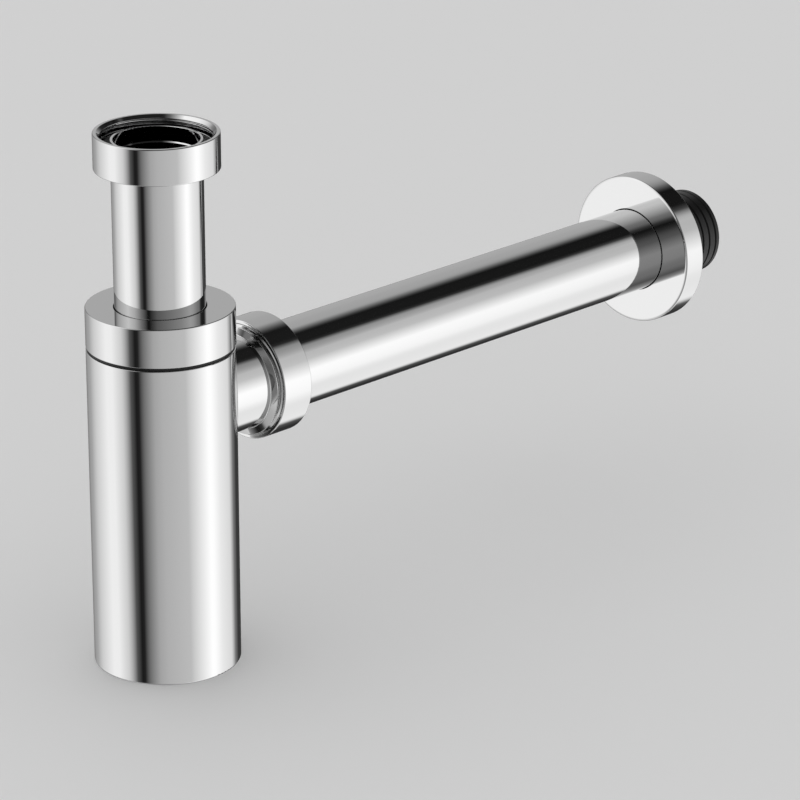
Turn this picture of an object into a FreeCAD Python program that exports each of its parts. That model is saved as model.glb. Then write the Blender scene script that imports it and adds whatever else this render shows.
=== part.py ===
import FreeCAD, Part
import math
import os

# A round metal bottle trap for a washbasin, in millimetres.
# The origin is the centre of the inlet seat, where the basin waste lands on the washer.
# +Z is up along the bottle, and +X runs along the outlet to the wall.

# Pipes
tube_diameter = 32.0
tube_wall = 1.4
tube_stand = 1.9  # end of the upright pipe above the inlet seat
tube_end_wall = 1.0  # the upright pipe's upper end is bored out
tube_end_depth = 5.4
tube_show = 49.8  # upright pipe seen between the inlet nut and the cap
dip_clearance = 22.0  # from the lower end of the dip tube to the floor of the bottle

# Coupling nuts, one form for both ends, for a 1 1/4 inch pipe thread
thread_room = 3.5  # from the pipe to the core of the thread, all round
thread_bore = tube_diameter + 2 * thread_room
nut_wall = 2.5
nut_diameter = thread_bore + 2 * nut_wall
nut_length = 13.0
nut_base = 3.5
thread_lead_in = 1.2  # chamfer at the mouth
thread_relief_width = 2.5
thread_relief_depth = 1.5

# Inlet joint
tube_collar_thickness = 2.5
inlet_washer_thickness = 2.5

# Bottle
bottle_diameter = 52.5
bottle_wall = 1.65
bottle_floor = 3.0
bottle_height = 117.7
bottle_inner_corner = 2.0
bottle_bottom_break = 0.6

# Cap, with the seam that the gasket fills
cap_height = 14.1
cap_plate = 10.8
cap_skirt_length = 9.1
cap_skirt_wall = 2.6
seam_height = 1.1
seam_depth = 0.65

# Round sealing rings
o_ring_section = 2.6
o_ring_groove_width = 3.2
o_ring_spacing = 4.8

# Outlet joint
outlet_drop = 22.4  # from the top of the bottle to the axis of the outlet
neck_diameter = 34.5
neck_wall = 3.2
neck_show = 9.75
neck_weld = 0.8
collar_length = 8.6
collar_lip_stand = 0.5  # how far the lip stands out past the core of the thread
collar_lip_diameter = thread_bore + 2 * collar_lip_stand
collar_lip_width = 1.0
collar_root = 0.4  # rounding where the neck meets the lip
socket_depth = 7.1
socket_end_gap = 0.5
seat_depth = 2.4
seal_stand = 1.8  # how far the cone seal stands out of the collar
seal_tip = 0.6
slip_ring_thickness = 1.5

# Wall end
outlet_show = 193.4  # outlet pipe seen between the nut and the rose
flange_diameter = 58.0
flange_thickness = 9.4
flange_plate = 2.5
flange_rim = 2.0
flange_hub_wall = 1.9
flange_hub_length = 7.2
tube_past_flange = 3.8
wall_seal_stand = 0.5  # how far the ribs stand out past the pipe
wall_seal_diameter = tube_diameter + 2 * wall_seal_stand
wall_seal_wall = 1.4
wall_seal_bore = tube_diameter - 2 * (tube_wall + wall_seal_wall)
wall_seal_length = 20.4
wall_seal_plug = 12.0
rib_pitch = 3.6
rib_end_land = 2.3
rib_first_land = 1.5
rib_groove_width = 1.0
rib_groove_depth = 0.9

# Fits and edges
turning_gap = 0.3  # between round metal faces that turn or slide
guide_gap = 0.25  # between a pipe and the bore that guides it
seal_gap = 0.05  # between a sealing ring and what it seals
edge_break = 0.4
fine_break = 0.3
keen_break = 0.15
inner_round = 1.0
cut_margin = 1.0  # how far a cutting tool runs past the face that it opens

# Radii
tube_radius = tube_diameter / 2
tube_inner_radius = tube_radius - tube_wall
nut_radius = nut_diameter / 2
thread_radius = thread_bore / 2
male_radius = thread_radius - turning_gap
tube_hole_radius = tube_radius + turning_gap
guide_radius = tube_radius + guide_gap
bottle_radius = bottle_diameter / 2
bottle_inner_radius = bottle_radius - bottle_wall
skirt_radius = bottle_inner_radius - turning_gap
neck_radius = neck_diameter / 2
ring_inner_radius = tube_radius + seal_gap
ring_centre_radius = ring_inner_radius + o_ring_section / 2
ring_groove_radius = ring_inner_radius + o_ring_section + seal_gap

# Heights, stacked from the inlet seat down
collar_top = -inlet_washer_thickness
nut_shoulder = collar_top - tube_collar_thickness
inlet_nut_bottom = nut_shoulder - nut_base
inlet_nut_mouth = inlet_nut_bottom + nut_length
cap_top = inlet_nut_bottom - tube_show
cap_rim_bottom = cap_top - cap_height
bottle_top = cap_rim_bottom - seam_height
bottle_bottom = bottle_top - bottle_height
bottle_floor_top = bottle_bottom + bottle_floor
dip_end = bottle_floor_top + dip_clearance
outlet_height = bottle_top - outlet_drop

# Distances along the outlet, stacked from the bottle to the wall
neck_end = bottle_radius + neck_show
collar_end = neck_end + collar_length
socket_bottom = collar_end - socket_depth
seat_bottom = collar_end - seat_depth
seal_end = collar_end + seal_stand
slip_ring_end = seal_end + slip_ring_thickness
outlet_nut_end = slip_ring_end + nut_base
outlet_nut_mouth = outlet_nut_end - nut_length
outlet_tube_start = socket_bottom + socket_end_gap
flange_front = outlet_nut_end + outlet_show
flange_back = flange_front + flange_thickness
outlet_tube_end = flange_back + tube_past_flange
wall_seal_end = outlet_tube_end + wall_seal_length


def outline(points):
    """A closed wire of straight sides. Each point is (radius, height, corner rounding)."""
    corners = [FreeCAD.Vector(radius, 0, height) for radius, height, _ in points]
    arrivals = []
    departures = []
    middles = []
    for i, (_, _, rounding) in enumerate(points):
        corner = corners[i]
        backward = (corners[i - 1] - corner).normalize()
        forward = (corners[(i + 1) % len(corners)] - corner).normalize()
        half_angle = backward.getAngle(forward) / 2
        setback = rounding / math.tan(half_angle)
        bisector = (backward + forward).normalize()
        arrivals.append(corner + backward * setback)
        departures.append(corner + forward * setback)
        middles.append(corner + bisector * (rounding / math.sin(half_angle) - rounding))
    edges = []
    for i, (_, _, rounding) in enumerate(points):
        if rounding > 0:
            edges.append(Part.Arc(arrivals[i], middles[i], departures[i]).toShape())
        edges.append(Part.LineSegment(departures[i], arrivals[(i + 1) % len(points)]).toShape())
    return Part.Wire(edges)


def turned(points):
    """A solid turned round the Z axis from its half section."""
    face = Part.Face(outline(points))
    return face.revolve(FreeCAD.Vector(0, 0, 0), FreeCAD.Vector(0, 0, 1), 360)


def along_outlet(shape):
    """Lays a shape that was turned round Z along the outlet. Its heights become distances along X."""
    shape.rotate(FreeCAD.Vector(0, 0, 0), FreeCAD.Vector(0, 1, 0), 90)
    shape.translate(FreeCAD.Vector(0, 0, outlet_height))
    return shape


def plain_ring(inner_radius, outer_radius, low, high, rounding):
    """A ring with a rectangular section and the same rounding on its four corners."""
    return turned(
        [
            (inner_radius, low, rounding),
            (outer_radius, low, rounding),
            (outer_radius, high, rounding),
            (inner_radius, high, rounding),
        ]
    )


def groove_points(centre):
    """The outline of a sealing ring's groove in a guide bore, from its lower side to its upper side."""
    low = centre - o_ring_groove_width / 2
    high = centre + o_ring_groove_width / 2
    return [
        (guide_radius, low, 0),
        (ring_groove_radius, low, 0),
        (ring_groove_radius, high, 0),
        (guide_radius, high, 0),
    ]


def o_ring(centre):
    """A round rubber ring about the Z axis."""
    ring = Part.makeTorus(ring_centre_radius, o_ring_section / 2)
    ring.translate(FreeCAD.Vector(0, 0, centre))
    return ring


def coupling_nut():
    """A round nut with its mouth upwards at zero. A relief groove ends the thread above the base."""
    shoulder = nut_base - nut_length
    relief_radius = thread_radius + thread_relief_depth
    relief_top = shoulder + thread_relief_width
    return turned(
        [
            (tube_hole_radius, -nut_length, fine_break),
            (nut_radius, -nut_length, edge_break),
            (nut_radius, 0, edge_break),
            (thread_radius + thread_lead_in, 0, 0),
            (thread_radius, -thread_lead_in, 0),
            (thread_radius, relief_top, 0),
            (relief_radius, relief_top, 0),
            (relief_radius, shoulder, 0),
            (tube_hole_radius, shoulder, 0),
        ]
    )


def inlet_nut():
    nut = coupling_nut()
    nut.translate(FreeCAD.Vector(0, 0, inlet_nut_mouth))
    return nut


def inlet_washer():
    return plain_ring(tube_radius + seal_gap, male_radius, collar_top, 0, fine_break)


def inlet_tube():
    """The upright pipe with its brazed collar, open at both ends. A ledge ends the wider bore at its top."""
    end_bore_radius = tube_radius - tube_end_wall
    ledge_top = tube_stand - tube_end_depth
    ledge_bottom = ledge_top - (end_bore_radius - tube_inner_radius)
    return turned(
        [
            (tube_inner_radius, dip_end, fine_break),
            (tube_radius, dip_end, fine_break),
            (tube_radius, nut_shoulder, 0),
            (male_radius, nut_shoulder, fine_break),
            (male_radius, collar_top, fine_break),
            (tube_radius, collar_top, 0),
            (tube_radius, tube_stand, keen_break),
            (end_bore_radius, tube_stand, keen_break),
            (end_bore_radius, ledge_top, 0),
            (tube_inner_radius, ledge_bottom, 0),
        ]
    )


def cap_ring_heights():
    """The middle heights of the two sealing rings in the cap, upper first."""
    middle = cap_top - cap_plate / 2
    return [middle + o_ring_spacing / 2, middle - o_ring_spacing / 2]


def bottle_cap():
    """A flat cap with a guide bore for the pipe and a skirt that screws into the bottle."""
    plate_bottom = cap_top - cap_plate
    skirt_bottom = cap_rim_bottom - cap_skirt_length
    skirt_inner_radius = skirt_radius - cap_skirt_wall
    points = [
        (guide_radius, cap_top, fine_break),
        (bottle_radius, cap_top, edge_break),
        (bottle_radius, cap_rim_bottom, fine_break),
        (skirt_radius, cap_rim_bottom, 0),
        (skirt_radius, skirt_bottom, edge_break),
        (skirt_inner_radius, skirt_bottom, fine_break),
        (skirt_inner_radius, plate_bottom, inner_round),
        (guide_radius, plate_bottom, fine_break),
    ]
    for centre in reversed(cap_ring_heights()):
        points += groove_points(centre)
    return turned(points)


def cap_gasket():
    return plain_ring(bottle_inner_radius, bottle_radius - seam_depth, bottle_top, cap_rim_bottom, 0)


def cup_outside():
    """The cup before it is hollowed."""
    return turned(
        [
            (0, bottle_bottom, 0),
            (bottle_radius, bottle_bottom, bottle_bottom_break),
            (bottle_radius, bottle_top, fine_break),
            (0, bottle_top, 0),
        ]
    )


def outlet_passage():
    """The waterway through the neck, with the socket and the conical seat at its end."""
    neck_inner_radius = neck_radius - neck_wall
    seat_radius = guide_radius + seat_depth
    return along_outlet(
        turned(
            [
                (0, 0, 0),
                (neck_inner_radius, 0, 0),
                (neck_inner_radius, socket_bottom, 0),
                (guide_radius, socket_bottom, 0),
                (guide_radius, seat_bottom, 0),
                (seat_radius, collar_end, 0),
                (seat_radius, collar_end + cut_margin, 0),
                (0, collar_end + cut_margin, 0),
            ]
        )
    )


def bottle():
    """The cup, open at the top, with the hole in its side that leads to the neck."""
    chamber = turned(
        [
            (0, bottle_floor_top, 0),
            (bottle_inner_radius, bottle_floor_top, bottle_inner_corner),
            (bottle_inner_radius, bottle_top + cut_margin, 0),
            (0, bottle_top + cut_margin, 0),
        ]
    )
    return cup_outside().cut(chamber).cut(outlet_passage())


def outlet_neck():
    """The neck, brazed to the side of the cup. It ends in a threaded collar with a lip."""
    cup = cup_outside()
    neck = turned([(0, 0, 0), (neck_radius, 0, 0), (neck_radius, neck_end, 0), (0, neck_end, 0)])
    joined = cup.fuse(along_outlet(neck))
    weld_edges = [edge for edge in joined.Edges if isinstance(edge.Curve, Part.BSplineCurve)]
    joined = joined.makeFillet(neck_weld, weld_edges)
    lip_radius = collar_lip_diameter / 2
    lip_end = neck_end + collar_lip_width
    collar = turned(
        [
            (0, neck_end - 2 * collar_root, 0),
            (neck_radius, neck_end - 2 * collar_root, 0),
            (neck_radius, neck_end, collar_root),
            (lip_radius, neck_end, keen_break),
            (lip_radius, lip_end, keen_break),
            (male_radius, lip_end, 0),
            (male_radius, collar_end, fine_break),
            (0, collar_end, 0),
        ]
    )
    outside = joined.cut(cup).fuse(along_outlet(collar))
    return outside.cut(outlet_passage()).removeSplitter()


def outlet_cone_seal():
    """A rubber cone that lies in the collar's seat, with its wide end towards the wall."""
    wide_radius = guide_radius + seat_depth - seal_gap
    tip_radius = ring_inner_radius + seal_tip
    tip_start = seat_bottom + tip_radius - guide_radius + seal_gap
    return along_outlet(
        turned(
            [
                (ring_inner_radius, tip_start, 0),
                (tip_radius, tip_start, 0),
                (wide_radius, collar_end, 0),
                (wide_radius, seal_end, fine_break),
                (ring_inner_radius, seal_end, fine_break),
            ]
        )
    )


def outlet_slip_ring():
    return along_outlet(plain_ring(tube_hole_radius, male_radius, seal_end, slip_ring_end, fine_break))


def outlet_nut():
    nut = coupling_nut()
    nut.rotate(FreeCAD.Vector(0, 0, 0), FreeCAD.Vector(0, 1, 0), -90)
    nut.translate(FreeCAD.Vector(outlet_nut_mouth, 0, outlet_height))
    return nut


def outlet_tube():
    return along_outlet(
        plain_ring(tube_inner_radius, tube_radius, outlet_tube_start, outlet_tube_end, fine_break)
    )


def flange_ring_place():
    """The middle of the sealing ring in the rose's hub, along the outlet."""
    return flange_front + flange_hub_length / 2


def wall_flange():
    """A turned rose with a thin front, a rim against the wall and a hub that holds a sealing ring."""
    plate_back = flange_front + flange_plate
    hub_back = flange_front + flange_hub_length
    hub_radius = ring_groove_radius + flange_hub_wall
    flange_radius = flange_diameter / 2
    rim_inner_radius = flange_radius - flange_rim
    points = [
        (guide_radius, hub_back, fine_break),
        (hub_radius, hub_back, fine_break),
        (hub_radius, plate_back, inner_round),
        (rim_inner_radius, plate_back, inner_round),
        (rim_inner_radius, flange_back, fine_break),
        (flange_radius, flange_back, edge_break),
        (flange_radius, flange_front, edge_break),
        (guide_radius, flange_front, keen_break),
    ]
    points += groove_points(flange_ring_place())
    return along_outlet(turned(points))


def flange_o_ring():
    return along_outlet(o_ring(flange_ring_place()))


def wall_seal():
    """A ribbed rubber end, plugged into the outlet pipe."""
    seal_radius = wall_seal_diameter / 2
    bore_radius = wall_seal_bore / 2
    plug_radius = tube_inner_radius - seal_gap
    plug_start = outlet_tube_end - wall_seal_plug
    groove_count = 1 + int((wall_seal_length - rib_end_land - rib_first_land) / rib_pitch)
    points = [
        (bore_radius, plug_start, 0),
        (plug_radius, plug_start, fine_break),
        (plug_radius, outlet_tube_end, 0),
        (seal_radius, outlet_tube_end, fine_break),
    ]
    for step in reversed(range(groove_count)):
        centre = wall_seal_end - rib_end_land - step * rib_pitch
        points += [
            (seal_radius, centre - rib_groove_width / 2, 0),
            (seal_radius - rib_groove_depth, centre, 0),
            (seal_radius, centre + rib_groove_width / 2, 0),
        ]
    points += [
        (seal_radius, wall_seal_end, edge_break),
        (bore_radius, wall_seal_end, fine_break),
    ]
    return along_outlet(turned(points))


upper_ring_height, lower_ring_height = cap_ring_heights()
pieces = {
    "inlet_nut": inlet_nut(),
    "inlet_washer": inlet_washer(),
    "inlet_tube": inlet_tube(),
    "upper_tube_o_ring": o_ring(upper_ring_height),
    "lower_tube_o_ring": o_ring(lower_ring_height),
    "bottle_cap": bottle_cap(),
    "cap_gasket": cap_gasket(),
    "bottle": bottle(),
    "outlet_neck": outlet_neck(),
    "outlet_cone_seal": outlet_cone_seal(),
    "outlet_slip_ring": outlet_slip_ring(),
    "outlet_nut": outlet_nut(),
    "outlet_tube": outlet_tube(),
    "wall_flange": wall_flange(),
    "flange_o_ring": flange_o_ring(),
    "wall_seal": wall_seal(),
}

os.makedirs("parts", exist_ok=True)
for name, shape in pieces.items():
    shape.exportStep(os.path.join("parts", name + ".step"))
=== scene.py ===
import math

import bpy
from mathutils import Euler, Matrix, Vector


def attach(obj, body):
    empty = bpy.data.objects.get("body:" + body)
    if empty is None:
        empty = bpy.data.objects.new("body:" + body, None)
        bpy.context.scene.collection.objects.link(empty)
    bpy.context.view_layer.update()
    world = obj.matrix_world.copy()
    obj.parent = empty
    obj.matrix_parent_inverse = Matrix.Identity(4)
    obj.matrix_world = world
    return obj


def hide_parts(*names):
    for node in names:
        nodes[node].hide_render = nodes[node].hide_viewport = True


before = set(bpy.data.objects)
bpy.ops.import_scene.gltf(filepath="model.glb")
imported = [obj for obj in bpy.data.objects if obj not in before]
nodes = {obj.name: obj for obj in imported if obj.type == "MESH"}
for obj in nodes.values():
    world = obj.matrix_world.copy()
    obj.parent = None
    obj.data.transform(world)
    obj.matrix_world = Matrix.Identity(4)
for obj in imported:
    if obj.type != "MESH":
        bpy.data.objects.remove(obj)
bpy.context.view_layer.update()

MM = 0.001
FULL_TURN = 2 * math.pi
MEASURED_DECIMALS = 3

# Fineness of the turned meshes. A thread's rows are in millimetres, the slope's step is also in radians
SEGMENTS = 192
CORNER_STEPS = 5
THREAD_ROW = 0.06
SLOPE_STEP = 0.002

# Which way a thread goes from the face that carries it
PLAIN = 0
OUTWARD = 1
INWARD = -1

# Walls, lengths and gaps in millimetres, the same as in the part's source
NUT_WALL = 2.5
NUT_LENGTH = 13.0
NUT_BASE = 3.5
THREAD_LEAD_IN = 1.2
RELIEF_WIDTH = 2.5
RELIEF_DEPTH = 1.5
BOTTLE_WALL = 1.65
CAP_HEIGHT = 14.1
CAP_PLATE = 10.8
SKIRT_WALL = 2.6
RING_SECTION = 2.6
RING_GROOVE_WIDTH = 3.2
RING_SPACING = 4.8
OUTLET_DROP = 22.4
NECK_RADIUS = 17.25
COLLAR_LENGTH = 8.6
COLLAR_ROOT = 0.4
LIP_WIDTH = 1.0
ROSE_PLATE = 2.5
ROSE_RIM = 2.0
ROSE_HUB_WALL = 1.9
ROSE_HUB_LENGTH = 7.2
ROSE_INNER_ROUND = 1.0
TURNING_GAP = 0.3
GUIDE_GAP = 0.25
SEAL_GAP = 0.05
EDGE_BREAK = 0.4
FINE_BREAK = 0.3
KEEN_BREAK = 0.15


def measure(name, axis_height=None):
    """Start, end and outer radius of a turned node in millimetres. With an axis height it lies along x."""
    places = [v.co / MM for v in nodes[name].data.vertices]
    if axis_height is None:
        reach = [p.z for p in places]
        radii = [math.hypot(p.x, p.y) for p in places]
    else:
        reach = [p.x for p in places]
        radii = [math.hypot(p.y, p.z - axis_height) for p in places]
    return [round(size, MEASURED_DECIMALS) for size in (min(reach), max(reach), max(radii))]


# Places and outer sizes, measured on the frame
_, INLET_NUT_MOUTH, NUT_RADIUS = measure("inlet_nut")
SKIRT_BOTTOM, CAP_TOP, BOTTLE_RADIUS = measure("bottle_cap")
BOTTLE_BOTTOM, BOTTLE_TOP, _ = measure("bottle")
OUTLET_HEIGHT = BOTTLE_TOP - OUTLET_DROP
_, COLLAR_END, LIP_RADIUS = measure("outlet_neck", OUTLET_HEIGHT)
OUTLET_NUT_MOUTH, _, _ = measure("outlet_nut", OUTLET_HEIGHT)
_, _, TUBE_RADIUS = measure("outlet_tube", OUTLET_HEIGHT)
ROSE_FRONT, ROSE_BACK, ROSE_RADIUS = measure("wall_flange", OUTLET_HEIGHT)

# Sizes worked out from those
TUBE_HOLE_RADIUS = TUBE_RADIUS + TURNING_GAP
GUIDE_RADIUS = TUBE_RADIUS + GUIDE_GAP
THREAD_RADIUS = NUT_RADIUS - NUT_WALL
RELIEF_RADIUS = THREAD_RADIUS + RELIEF_DEPTH
COLLAR_RADIUS = THREAD_RADIUS - TURNING_GAP
NECK_END = COLLAR_END - COLLAR_LENGTH
LIP_END = NECK_END + LIP_WIDTH
LIP_FACE_RADIUS = NECK_RADIUS + COLLAR_ROOT
BOTTLE_INNER_RADIUS = BOTTLE_RADIUS - BOTTLE_WALL
CAP_RIM_BOTTOM = CAP_TOP - CAP_HEIGHT
CAP_PLATE_BOTTOM = CAP_TOP - CAP_PLATE
SKIRT_RADIUS = BOTTLE_INNER_RADIUS - TURNING_GAP
SKIRT_INNER_RADIUS = SKIRT_RADIUS - SKIRT_WALL
RING_GROOVE_RADIUS = TUBE_RADIUS + RING_SECTION + 2 * SEAL_GAP
RINGS_MIDDLE = CAP_TOP - CAP_PLATE / 2
RING_HEIGHTS = (RINGS_MIDDLE - RING_SPACING / 2, RINGS_MIDDLE + RING_SPACING / 2)

# Corners left by the turning tool
TOOL_CORNER = 0.1

# The rose's front edge, which buffing has rounded off towards the rim
BUFFED_WIDTH = 0.8
BUFFED_FALL = 0.26
BUFFED_EASE = 2.0
BUFFED_CORNER = 0.5

# The lip's face on the collar: how far it falls back at its edge, and the margin for finding its points
LIP_FALL = 0.65
PICK_MARGIN = 0.02

# The 1 1/4 inch pipe thread of the nuts and the collar
PIPE_PITCH = 2.309
NUT_GROOVE_DEPTH = 1.44
INLET_THREAD_LEAD = -0.12
THREAD_START = 1.25
THREAD_FULL = 2.2
COLLAR_RIDGE_HEIGHT = 1.33

# The thread between cap and bottle
BOTTLE_PITCH = 2.0
SKIRT_GROOVE_DEPTH = 0.75
BOTTLE_RIDGE_HEIGHT = 0.7

# Form of the ridges and grooves, as shares of half a pitch
RIDGE_CREST = 0.12
RIDGE_FOOT = 0.62
GROOVE_ROOT = 0.2
GROOVE_EDGE = 0.8

# Rounding at both ends of a flank, as a share of its climb
FLANK_ROUNDING = 0.12

# Threaded sleeves on the collar and in the bottle's mouth, let into the metal behind them
SLEEVE_STAND = 0.02
SLEEVE_SUNK = 0.4
COLLAR_SLEEVE_END = COLLAR_END - 0.1
MOUTH_SLEEVE_LOW = BOTTLE_TOP - 8.2
MOUTH_SLEEVE_HIGH = BOTTLE_TOP - 0.6

# Where a thread fades: (place where it is gone, place where it is whole)
COLLAR_FADE_IN = (LIP_END + 0.1, LIP_END + 0.5)
COLLAR_FADE_OUT = (COLLAR_END - 0.3, COLLAR_END - 1.3)
SKIRT_FADE = (CAP_RIM_BOTTOM - 0.2, CAP_RIM_BOTTOM - 0.8)
MOUTH_FADE_LOW = (BOTTLE_TOP - 8.0, BOTTLE_TOP - 7.4)
MOUTH_FADE_HIGH = (BOTTLE_TOP - 0.8, BOTTLE_TOP - 1.6)

# Finishes: grains in cells per metre, roughness as (least, most), bumps as (strength, depth in metres)
CHROME_REFLECTANCE = 0.52
CHROME_GRAIN = 60
CHROME_ROUGHNESS = (0.02, 0.04)
CHROME_WAVES = 25
CHROME_WAVE_DETAIL = 2
CHROME_BUMP = (0.006, 0.0002)
POLISHING_LINES = 30
RUBBER_GREY = 0.008
RUBBER_SHINE = 0.25
RUBBER_GRAIN = 900
RUBBER_ROUGHNESS = (0.32, 0.48)
RUBBER_PORES = 3000
RUBBER_BUMP = (0.08, 0.0001)
PLASTIC_COLOUR = (0.78, 0.78, 0.76, 1)
PLASTIC_GRAIN = 1200
PLASTIC_ROUGHNESS = (0.32, 0.45)
PLASTIC_PORES = 2500
PLASTIC_BUMP = (0.05, 0.0001)

# Floor, in metres
FLOOR_SIZE = 12.0
FLOOR_GREY = 0.8
FLOOR_GRAIN = 6
FLOOR_ROUGHNESS = (0.6, 0.75)

# Camera, at the photograph's angle, in metres
CAMERA_PLACE = (-0.853098, -0.975557, 0.396671)
CAMERA_AZIMUTH = math.radians(-44.848)
CAMERA_ELEVATION = math.radians(20.76)
CAMERA_LENS = 177.88
CAMERA_NEAREST = 0.01

# The studio's walls from the floor up: (degrees to the right of the camera, brightness in the chrome)
FLOOR_WALLS = [
    (-180, 0.02),
    (-156, 0.20),
    (-90, 0.60),
    (-62, 0.29),
    (-46, 0.13),
    (-38, 0.17),
    (-25, 0.25),
    (-7, 0.33),
    (40, 0.49),
    (46, 0.585),
    (78, 1.0),
    (84, 0.95),
    (93, 0.79),
    (98, 0.755),
    (133, 0.75),
    (138, 0.66),
    (143, 0.40),
    (148, 0.12),
    (152, 0.06),
    (165, 0.02),
]
LOW_WALLS = [
    (-180, 0.02),
    (-156, 0.20),
    (-150, 0.24),
    (-138, 0.315),
    (-120, 0.56),
    (-90, 0.84),
    (-78, 0.84),
    (-60, 0.60),
    (-54, 0.42),
    (-45, 0.08),
    (-37, 0.01),
    (-32, 0.015),
    (-24, 0.15),
    (-8, 0.36),
    (4, 0.42),
    (40, 0.49),
    (46, 0.585),
    (78, 1.0),
    (84, 0.99),
    (100, 0.80),
    (124, 0.65),
    (137, 0.16),
    (150, 0.03),
]
HIGH_WALLS = [
    (-152, 0.05),
    (-124, 0.50),
    (-84, 0.90),
    (-64, 0.67),
    (-44, 0.23),
    (-28, 0.01),
    (-24, 0.01),
    (-4, 0.15),
    (57, 0.37),
    (84, 0.54),
    (94, 0.47),
    (103, 0.35),
    (118, 0.26),
    (125, 0.04),
    (132, 0.02),
]
TOP_WALLS = [
    (-160, 0.10),
    (-145, 0.50),
    (-133, 0.75),
    (-110, 0.84),
    (-84, 0.90),
    (-74, 0.72),
    (-58, 0.46),
    (-49, 0.29),
    (-39, 0.21),
    (-30, 0.06),
    (-22, 0.01),
    (-12, 0.02),
    (-4, 0.12),
    (57, 0.27),
    (84, 0.42),
    (96, 0.47),
    (103, 0.54),
    (110, 0.04),
    (116, 0.003),
]

# Where one band of walls changes to the next, as the upward part of a direction of length one
FLOOR_TO_LOW = (-0.64, -0.44)
LOW_TO_HIGH = (-0.08, 0.30)
HIGH_TO_TOP = (0.30, 0.66)

# A soft light on the wall behind the part: brightness, edges in degrees from the camera, upward parts
BACK_WALL = 0.335
BACK_WALL_EDGE = 142
BACK_WALL_FULL = 171
BACK_WALL_FOOT = -0.26
BACK_WALL_FOOT_TOP = -0.16
BACK_WALL_RISE_END = 0.30
BACK_WALL_LOW_SHARE = 0.8

# The dark ceiling, which comes lower on the right: brightness, tilt and upward parts
CEILING = 0.012
CEILING_TILT = 0.25
CEILING_START = 0.70
CEILING_FULL = 0.95

# Plain light for all rays that aren't mirrored
ROOM_GREY = 0.8

# Colour sockets of Blender's Mix node, which has sockets of the same names for other types
MIX_FIRST_COLOUR = 6
MIX_SECOND_COLOUR = 7
MIX_RESULT_COLOUR = 2


def new_object(name, data):
    """An object in the scene for a mesh or a camera."""
    item = bpy.data.objects.new(name, data)
    bpy.context.scene.collection.objects.link(item)
    return item


def rounded_outline(points):
    """Rows of (radius, height, normal, tag) round a closed half section.

    The section's points are (radius, height, corner rounding, tag).
    """
    area = 0
    for i, (radius, height, _, _) in enumerate(points):
        next_radius, next_height = points[(i + 1) % len(points)][:2]
        area += radius * next_height - next_radius * height
    if area < 0:
        points = points[::-1]
    rows = []
    count = len(points)
    for i, (radius, height, rounding, tag) in enumerate(points):
        next_point = points[(i + 1) % count]
        corner = Vector((radius, height))
        back = (Vector(points[i - 1][:2]) - corner).normalized()
        ahead = (Vector(next_point[:2]) - corner).normalized()
        normal_in = Vector((-back.y, back.x))
        normal_out = Vector((ahead.y, -ahead.x))
        turn = back.angle(ahead)
        setback = rounding / math.tan(turn / 2)
        convex = back.x * ahead.y - back.y * ahead.x < 0
        side = -1 if convex else 1
        centre = corner + back * setback + normal_in * rounding * side
        sweep = normal_in.angle_signed(normal_out)
        for step in range(CORNER_STEPS + 1):
            angle = -sweep * step / CORNER_STEPS
            normal = Vector(
                (
                    normal_in.x * math.cos(angle) - normal_in.y * math.sin(angle),
                    normal_in.x * math.sin(angle) + normal_in.y * math.cos(angle),
                )
            )
            place = centre - normal * rounding * side
            rows.append((place.x, place.y, normal, tag))
        if tag and next_point[3]:
            rows += thread_rows(rows[-1], next_point, ahead)
    return rows


def thread_rows(start_row, end_point, ahead):
    """Rows along a threaded side, close enough to carry the thread's form."""
    start_radius, start_height, normal, tag = start_row
    end_radius, end_height, end_rounding, _ = end_point
    first = Vector((start_radius, start_height))
    last = Vector((end_radius, end_height)) - ahead * end_rounding
    count = max(2, round((last - first).length / THREAD_ROW))
    rows = []
    for step in range(1, count):
        place = first.lerp(last, step / count)
        rows.append((place.x, place.y, normal, tag))
    return rows


def smooth_step(share):
    """A share kept between nothing and one, with an even start and end."""
    t = min(max(share, 0), 1)
    return t * t * (3 - 2 * t)


def eased(value, soft):
    """The value, or zero where it is below zero, with a rounded corner between."""
    if abs(value) < soft:
        return (value + soft) ** 2 / (4 * soft)
    return max(value, 0)


def helix(pitch, start, depth, crest, foot, *fades):
    """A function for how far a thread stands out at an angle and a height."""

    def stand(angle, height):
        phase = ((height - start) / pitch - angle / FULL_TURN) % 1
        climb = (foot - abs(phase - 0.5) * 2) / (foot - crest)
        ridge = eased(climb, FLANK_ROUNDING) - eased(climb - 1, FLANK_ROUNDING)
        for gone, whole in fades:
            ridge *= smooth_step((height - gone) / (whole - gone))
        return depth * ridge

    return stand


def with_lead_in(form, mouth):
    """Opens the mouth of a thread with a chamfer."""

    def stand(angle, height):
        groove = form(angle, height)
        chamfer = THREAD_LEAD_IN - abs(height - mouth)
        return groove + eased(chamfer - groove, TOOL_CORNER)

    return stand


def nut_thread(mouth, way, lead=0.0):
    """The thread in a coupling nut, which starts in the chamfer at its mouth."""
    fade = (mouth + way * THREAD_START, mouth + way * THREAD_FULL)
    form = helix(PIPE_PITCH, mouth + lead, NUT_GROOVE_DEPTH, GROOVE_ROOT, GROOVE_EDGE, fade)
    return with_lead_in(form, mouth)


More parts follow.
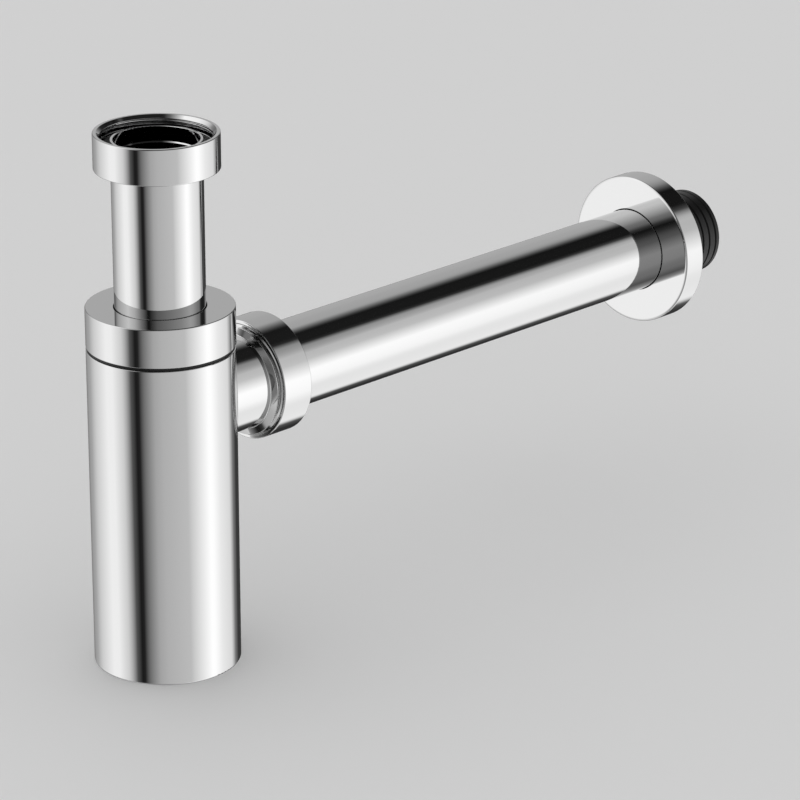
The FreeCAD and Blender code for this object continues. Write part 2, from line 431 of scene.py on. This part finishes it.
def turned_piece(name, points, stand=None, along_x=False):
    """A mesh turned from its half section, with exact normals. Tagged points carry the thread."""
    rows = rounded_outline(points)
    count = len(rows)
    verts = []
    normals = []
    for i in range(SEGMENTS):
        angle = FULL_TURN * i / SEGMENTS
        outward = Vector((math.cos(angle), math.sin(angle), 0))
        round_way = Vector((-math.sin(angle), math.cos(angle), 0))
        for radius, height, normal, tag in rows:
            direction = outward * normal.x + Vector((0, 0, normal.y))
            if stand and tag:
                slope = stand(angle, height + SLOPE_STEP) - stand(angle, height - SLOPE_STEP)
                slope /= 2 * SLOPE_STEP
                lead = stand(angle + SLOPE_STEP, height) - stand(angle - SLOPE_STEP, height)
                lead /= 2 * SLOPE_STEP * radius
                direction -= (Vector((0, 0, slope)) + round_way * lead) * normal.x * tag
                radius += tag * stand(angle, height)
            verts.append((outward * radius + Vector((0, 0, height))) * MM)
            normals.append(direction.normalized())
    faces = []
    for i in range(SEGMENTS):
        here = i * count
        beside = (i + 1) % SEGMENTS * count
        for j in range(count):
            k = (j + 1) % count
            faces.append((here + j, beside + j, beside + k, here + k))
    if along_x:
        verts = [Vector((v.z, v.y, OUTLET_HEIGHT * MM - v.x)) for v in verts]
        normals = [Vector((n.z, n.y, -n.x)) for n in normals]
    mesh = bpy.data.meshes.new(name)
    mesh.from_pydata(verts, [], faces)
    mesh.shade_smooth()
    mesh.normals_split_custom_set_from_vertices(normals)
    return new_object(name, mesh)


def nut_points(mouth, way):
    """The section of a coupling nut. Way is the direction from its mouth to its base along the axis."""
    shoulder = mouth + way * (NUT_LENGTH - NUT_BASE)
    base = mouth + way * NUT_LENGTH
    relief = shoulder - way * RELIEF_WIDTH
    return [
        (TUBE_HOLE_RADIUS, base, FINE_BREAK, PLAIN),
        (NUT_RADIUS, base, EDGE_BREAK, PLAIN),
        (NUT_RADIUS, mouth, EDGE_BREAK, PLAIN),
        (THREAD_RADIUS, mouth, TOOL_CORNER, OUTWARD),
        (THREAD_RADIUS, relief, TOOL_CORNER, OUTWARD),
        (RELIEF_RADIUS, relief, TOOL_CORNER, PLAIN),
        (RELIEF_RADIUS, shoulder, FINE_BREAK, PLAIN),
        (TUBE_HOLE_RADIUS, shoulder, TOOL_CORNER, PLAIN),
    ]


def groove_points(middle):
    """The section of a sealing ring's groove in a guide bore, from its lower side up."""
    low = middle - RING_GROOVE_WIDTH / 2
    high = middle + RING_GROOVE_WIDTH / 2
    return [
        (GUIDE_RADIUS, low, TOOL_CORNER, PLAIN),
        (RING_GROOVE_RADIUS, low, TOOL_CORNER, PLAIN),
        (RING_GROOVE_RADIUS, high, TOOL_CORNER, PLAIN),
        (GUIDE_RADIUS, high, TOOL_CORNER, PLAIN),
    ]


def cap_points():
    """The section of the cap, with two ring grooves in its bore and the thread on its skirt."""
    points = [
        (GUIDE_RADIUS, CAP_TOP, FINE_BREAK, PLAIN),
        (BOTTLE_RADIUS, CAP_TOP, EDGE_BREAK, PLAIN),
        (BOTTLE_RADIUS, CAP_RIM_BOTTOM, FINE_BREAK, PLAIN),
        (SKIRT_RADIUS, CAP_RIM_BOTTOM, TOOL_CORNER, INWARD),
        (SKIRT_RADIUS, SKIRT_BOTTOM, EDGE_BREAK, INWARD),
        (SKIRT_INNER_RADIUS, SKIRT_BOTTOM, FINE_BREAK, PLAIN),
        (SKIRT_INNER_RADIUS, CAP_PLATE_BOTTOM, EDGE_BREAK, PLAIN),
        (GUIDE_RADIUS, CAP_PLATE_BOTTOM, FINE_BREAK, PLAIN),
    ]
    for middle in RING_HEIGHTS:
        points += groove_points(middle)
    return points


def rose_points():
    """The section of the rose: a thin front, a rim against the wall and a hub that holds a sealing ring."""
    plate_back = ROSE_FRONT + ROSE_PLATE
    hub_back = ROSE_FRONT + ROSE_HUB_LENGTH
    hub_radius = RING_GROOVE_RADIUS + ROSE_HUB_WALL
    rim_inner_radius = ROSE_RADIUS - ROSE_RIM
    points = [
        (GUIDE_RADIUS, hub_back, FINE_BREAK, PLAIN),
        (hub_radius, hub_back, FINE_BREAK, PLAIN),
        (hub_radius, plate_back, ROSE_INNER_ROUND, PLAIN),
        (rim_inner_radius, plate_back, ROSE_INNER_ROUND, PLAIN),
        (rim_inner_radius, ROSE_BACK, FINE_BREAK, PLAIN),
        (ROSE_RADIUS, ROSE_BACK, EDGE_BREAK, PLAIN),
        (ROSE_RADIUS, ROSE_FRONT + BUFFED_FALL, BUFFED_CORNER, PLAIN),
        (ROSE_RADIUS - BUFFED_WIDTH, ROSE_FRONT, BUFFED_EASE, PLAIN),
        (GUIDE_RADIUS, ROSE_FRONT, KEEN_BREAK, PLAIN),
    ]
    return points + groove_points(ROSE_FRONT + ROSE_HUB_LENGTH / 2)


def sleeve_points(wall, way, low, high):
    """The section of a thin sleeve let into a wall, with a thread on the side that shows."""
    front = wall + way * SLEEVE_STAND
    back = wall - way * SLEEVE_SUNK
    return [
        (front, low, TOOL_CORNER, way),
        (front, high, TOOL_CORNER, way),
        (back, high, TOOL_CORNER, PLAIN),
        (back, low, TOOL_CORNER, PLAIN),
    ]


def sloped_neck(name, neck):
    """A copy of the neck with its lip's face turned to a slope."""
    mesh = neck.data.copy()
    slope = LIP_FALL / (LIP_RADIUS - LIP_FACE_RADIUS)
    outward = [Vector((0, v.co.y, v.co.z - OUTLET_HEIGHT * MM)) for v in mesh.vertices]
    front = (NECK_END - PICK_MARGIN) * MM
    behind = (NECK_END + KEEN_BREAK + PICK_MARGIN) * MM
    on_face = [
        front < v.co.x < behind and out.length > (LIP_FACE_RADIUS - PICK_MARGIN) * MM
        for v, out in zip(mesh.vertices, outward)
    ]
    normals = [corner.vector.copy() for corner in mesh.corner_normals]
    for face in mesh.polygons:
        if all(on_face[i] for i in face.vertices):
            for corner, i in zip(face.loop_indices, face.vertices):
                normal = normals[corner]
                normals[corner] = (normal - outward[i].normalized() * slope * normal.x).normalized()
    for v, out, moves in zip(mesh.vertices, outward, on_face):
        if moves:
            v.co.x += slope * max(out.length - LIP_FACE_RADIUS * MM, 0)
    mesh.normals_split_custom_set(normals)
    return new_object(name, mesh)


def grey(level):
    """An even grey as a colour."""
    return (level, level, level, 1)


def math_node(tree, operation, first, second=None):
    """The result of a sum on numbers or other nodes' results."""
    node = tree.nodes.new("ShaderNodeMath")
    node.operation = operation
    for socket, value in zip(node.inputs, (first, second)):
        if isinstance(value, (int, float)):
            socket.default_value = value
        elif value:
            tree.links.new(value, socket)
    return node.outputs["Value"]


def along(tree, direction, axis):
    """How far a direction goes along an axis."""
    node = tree.nodes.new("ShaderNodeVectorMath")
    node.operation = "DOT_PRODUCT"
    node.inputs[1].default_value = axis
    tree.links.new(direction, node.inputs[0])
    return node.outputs["Value"]


def between(tree, value, low, high, start=0.0, end=1.0, smooth=False):
    """Runs from start to end while the value goes from low to high."""
    node = tree.nodes.new("ShaderNodeMapRange")
    node.interpolation_type = "SMOOTHSTEP" if smooth else "LINEAR"
    node.inputs["From Min"].default_value = low
    node.inputs["From Max"].default_value = high
    node.inputs["To Min"].default_value = start
    node.inputs["To Max"].default_value = end
    tree.links.new(value, node.inputs["Value"])
    return node.outputs["Result"]


def blend(tree, first, second, share):
    """Two results mixed, with the second one's share."""
    stay = math_node(tree, "SUBTRACT", 1.0, share)
    first_part = math_node(tree, "MULTIPLY", first, stay)
    second_part = math_node(tree, "MULTIPLY", second, share)
    return math_node(tree, "ADD", first_part, second_part)


def new_material(name, slots):
    """A material, its node tree and its shader with the values given."""
    material = bpy.data.materials.new(name)
    material.use_nodes = True
    shader = material.node_tree.nodes["Principled BSDF"]
    for socket, value in slots.items():
        shader.inputs[socket].default_value = value
    return material, material.node_tree, shader


def noise(tree, scale, stretch=(1, 1, 1), detail=4):
    """A noise texture on the piece's own coordinates, in cells per metre."""
    place = tree.nodes.new("ShaderNodeTexCoord")
    mapping = tree.nodes.new("ShaderNodeMapping")
    mapping.inputs["Scale"].default_value = stretch
    texture = tree.nodes.new("ShaderNodeTexNoise")
    texture.inputs["Scale"].default_value = scale
    texture.inputs["Detail"].default_value = detail
    tree.links.new(place.outputs["Object"], mapping.inputs["Vector"])
    tree.links.new(mapping.outputs["Vector"], texture.inputs["Vector"])
    return texture.outputs["Fac"]


def roughen(tree, source, shader, least, most):
    """Lets a noise run the roughness between two limits."""
    tree.links.new(between(tree, source, 0.0, 1.0, least, most), shader.inputs["Roughness"])


def bump(tree, source, shader, strength, depth):
    """Lets a noise raise the surface a little."""
    node = tree.nodes.new("ShaderNodeBump")
    node.inputs["Strength"].default_value = strength
    node.inputs["Distance"].default_value = depth
    tree.links.new(source, node.inputs["Height"])
    tree.links.new(node.outputs["Normal"], shader.inputs["Normal"])


def chrome(name, stretch):
    """Polished chrome with faint polishing lines round the piece."""
    slots = {"Base Color": grey(CHROME_REFLECTANCE), "Metallic": 1.0}
    material, tree, shader = new_material(name, slots)
    roughen(tree, noise(tree, CHROME_GRAIN, stretch), shader, *CHROME_ROUGHNESS)
    bump(tree, noise(tree, CHROME_WAVES, stretch, CHROME_WAVE_DETAIL), shader, *CHROME_BUMP)
    return material


def rubber(name):
    """Moulded black rubber, a little shiny, with a fine grain."""
    slots = {"Base Color": grey(RUBBER_GREY), "Specular IOR Level": RUBBER_SHINE}
    material, tree, shader = new_material(name, slots)
    roughen(tree, noise(tree, RUBBER_GRAIN), shader, *RUBBER_ROUGHNESS)
    bump(tree, noise(tree, RUBBER_PORES), shader, *RUBBER_BUMP)
    return material


def plastic(name):
    """White moulded plastic."""
    material, tree, shader = new_material(name, {"Base Color": PLASTIC_COLOUR})
    roughen(tree, noise(tree, PLASTIC_GRAIN), shader, *PLASTIC_ROUGHNESS)
    bump(tree, noise(tree, PLASTIC_PORES), shader, *PLASTIC_BUMP)
    return material


def pale_floor(name):
    """A pale floor without shine."""
    material, tree, shader = new_material(name, {"Base Color": grey(FLOOR_GREY)})
    roughen(tree, noise(tree, FLOOR_GRAIN), shader, *FLOOR_ROUGHNESS)
    return material


def paint(piece, material):
    """Gives a piece one material all over."""
    if not piece.material_slots:
        piece.data.materials.append(material)
        return
    for slot in piece.material_slots:
        slot.material = material


def wall_ramp(tree, share, walls):
    """How bright a band of walls shows in the chrome, all round."""
    ramp = tree.nodes.new("ShaderNodeValToRGB")
    stops = ramp.color_ramp.elements
    while len(stops) < len(walls):
        stops.new(0.5)
    for stop, (degrees, level) in zip(stops, walls):
        stop.position = (degrees + 180) / 360
        stop.color = grey(level)
    tree.links.new(share, ramp.inputs["Fac"])
    return ramp.outputs["Color"]


def wall_bands(tree, round_angle, height):
    """The walls all round, from the floor to the top."""
    share = between(tree, round_angle, -math.pi, math.pi)
    walls = wall_ramp(tree, share, FLOOR_WALLS)
    for band, (start, end) in (
        (LOW_WALLS, FLOOR_TO_LOW),
        (HIGH_WALLS, LOW_TO_HIGH),
        (TOP_WALLS, HIGH_TO_TOP),
    ):
        walls = blend(tree, walls, wall_ramp(tree, share, band), between(tree, height, start, end))
    return walls


def back_wall(tree, round_angle, height):
    """The light on the wall behind the part, which grows upwards from its foot."""
    turn = math_node(tree, "ABSOLUTE", round_angle)
    edge = math.radians(BACK_WALL_EDGE)
    full = math.radians(BACK_WALL_FULL)
    light = between(tree, turn, edge, full, 0.0, BACK_WALL, smooth=True)
    foot = between(tree, height, BACK_WALL_FOOT, BACK_WALL_FOOT_TOP)
    light = math_node(tree, "MULTIPLY", light, foot)
    rise = between(tree, height, BACK_WALL_FOOT_TOP, BACK_WALL_RISE_END, BACK_WALL_LOW_SHARE, 1.0)
    return math_node(tree, "MULTIPLY", light, rise)


def under_ceiling(tree, walls, height, right):
    """The walls with the dark ceiling over them."""
    slope = math_node(tree, "ADD", height, math_node(tree, "MULTIPLY", right, CEILING_TILT))
    fade = between(tree, slope, CEILING_START, CEILING_FULL, 1.0, 0.0)
    walls = math_node(tree, "MULTIPLY", walls, fade)
    ceiling = between(tree, slope, CEILING_START, CEILING_FULL, 0.0, CEILING)
    return math_node(tree, "ADD", walls, ceiling)


def studio():
    """A dark room with soft white walls, as shiny faces mirror it. All other rays meet plain light."""
    world = bpy.data.worlds.new("studio")
    bpy.context.scene.world = world
    world.use_nodes = True
    tree = world.node_tree
    direction = tree.nodes.new("ShaderNodeTexCoord").outputs["Generated"]
    toward = CAMERA_AZIMUTH - math.pi / 2
    front = along(tree, direction, (math.cos(toward), math.sin(toward), 0))
    right = along(tree, direction, (math.cos(CAMERA_AZIMUTH), math.sin(CAMERA_AZIMUTH), 0))
    height = along(tree, direction, (0, 0, 1))
    round_angle = math_node(tree, "ARCTAN2", right, front)

    walls = wall_bands(tree, round_angle, height)
    walls = math_node(tree, "MAXIMUM", walls, back_wall(tree, round_angle, height))
    walls = under_ceiling(tree, walls, height, right)
    light = math_node(tree, "DIVIDE", walls, CHROME_REFLECTANCE)

    rays = tree.nodes.new("ShaderNodeLightPath")
    mix = tree.nodes.new("ShaderNodeMix")
    mix.data_type = "RGBA"
    mix.inputs[MIX_FIRST_COLOUR].default_value = grey(ROOM_GREY)
    tree.links.new(rays.outputs["Is Glossy Ray"], mix.inputs["Factor"])
    tree.links.new(light, mix.inputs[MIX_SECOND_COLOUR])
    tree.links.new(mix.outputs[MIX_RESULT_COLOUR], tree.nodes["Background"].inputs["Color"])


# Turned pieces
inlet_nut = turned_piece(
    "inlet_nut_threaded",
    nut_points(INLET_NUT_MOUTH, way=-1),
    nut_thread(INLET_NUT_MOUTH, way=-1, lead=INLET_THREAD_LEAD),
)
outlet_nut = turned_piece(
    "outlet_nut_threaded",
    nut_points(OUTLET_NUT_MOUTH, way=1),
    nut_thread(OUTLET_NUT_MOUTH, way=1),
    along_x=True,
)
collar_thread = turned_piece(
    "outlet_collar_thread",
    sleeve_points(COLLAR_RADIUS, OUTWARD, LIP_END, COLLAR_SLEEVE_END),
    helix(
        PIPE_PITCH,
        OUTLET_NUT_MOUTH,
        COLLAR_RIDGE_HEIGHT,
        RIDGE_CREST,
        RIDGE_FOOT,
        COLLAR_FADE_IN,
        COLLAR_FADE_OUT,
    ),
    along_x=True,
)
bottle_cap = turned_piece(
    "bottle_cap_threaded",
    cap_points(),
    helix(BOTTLE_PITCH, BOTTLE_TOP, SKIRT_GROOVE_DEPTH, GROOVE_ROOT, GROOVE_EDGE, SKIRT_FADE),
)
bottle_thread = turned_piece(
    "bottle_mouth_thread",
    sleeve_points(BOTTLE_INNER_RADIUS, INWARD, MOUTH_SLEEVE_LOW, MOUTH_SLEEVE_HIGH),
    helix(
        BOTTLE_PITCH,
        BOTTLE_TOP,
        BOTTLE_RIDGE_HEIGHT,
        RIDGE_CREST,
        RIDGE_FOOT,
        MOUTH_FADE_LOW,
        MOUTH_FADE_HIGH,
    ),
)
wall_flange = turned_piece("wall_flange_turned", rose_points(), along_x=True)
outlet_neck = sloped_neck("outlet_neck_sloped", nodes["outlet_neck"])

# Finishes
upright_chrome = chrome("chrome_upright", (1, 1, POLISHING_LINES))
outlet_chrome = chrome("chrome_outlet", (POLISHING_LINES, 1, 1))
black_rubber = rubber("black_rubber_moulded")
white_plastic = plastic("white_plastic_moulded")
for name in ("inlet_tube", "bottle"):
    paint(nodes[name], upright_chrome)
paint(nodes["outlet_tube"], outlet_chrome)
for name in (
    "inlet_washer",
    "upper_tube_o_ring",
    "lower_tube_o_ring",
    "cap_gasket",
    "outlet_cone_seal",
    "flange_o_ring",
    "wall_seal",
):
    paint(nodes[name], black_rubber)
paint(nodes["outlet_slip_ring"], white_plastic)
for piece, body, material in (
    (inlet_nut, "inlet_nut", upright_chrome),
    (bottle_cap, "bottle_cap", upright_chrome),
    (bottle_thread, "bottle", upright_chrome),
    (outlet_nut, "outlet_nut", outlet_chrome),
    (collar_thread, "bottle", outlet_chrome),
    (wall_flange, "wall_flange", outlet_chrome),
    (outlet_neck, "bottle", outlet_chrome),
):
    paint(piece, material)
    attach(piece, body)
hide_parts("inlet_nut")
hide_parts("outlet_nut")
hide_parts("bottle_cap")
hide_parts("wall_flange")
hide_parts("outlet_neck")

# Floor
floor_mesh = bpy.data.meshes.new("floor")
half = FLOOR_SIZE / 2
level = BOTTLE_BOTTOM * MM
floor_mesh.from_pydata(
    [(-half, -half, level), (half, -half, level), (half, half, level), (-half, half, level)],
    [],
    [(0, 1, 2, 3)],
)
floor = new_object("floor", floor_mesh)
paint(floor, pale_floor("floor_pale"))
floor.visible_glossy = False

studio()

# Camera
camera_data = bpy.data.cameras.new("camera")
camera_data.lens = CAMERA_LENS
camera_data.clip_start = CAMERA_NEAREST
camera = new_object("camera", camera_data)
camera.location = CAMERA_PLACE
camera.rotation_euler = Euler((math.pi / 2 - CAMERA_ELEVATION, 0, CAMERA_AZIMUTH))
bpy.context.scene.camera = camera
bpy.context.scene.view_settings.view_transform = "Standard"
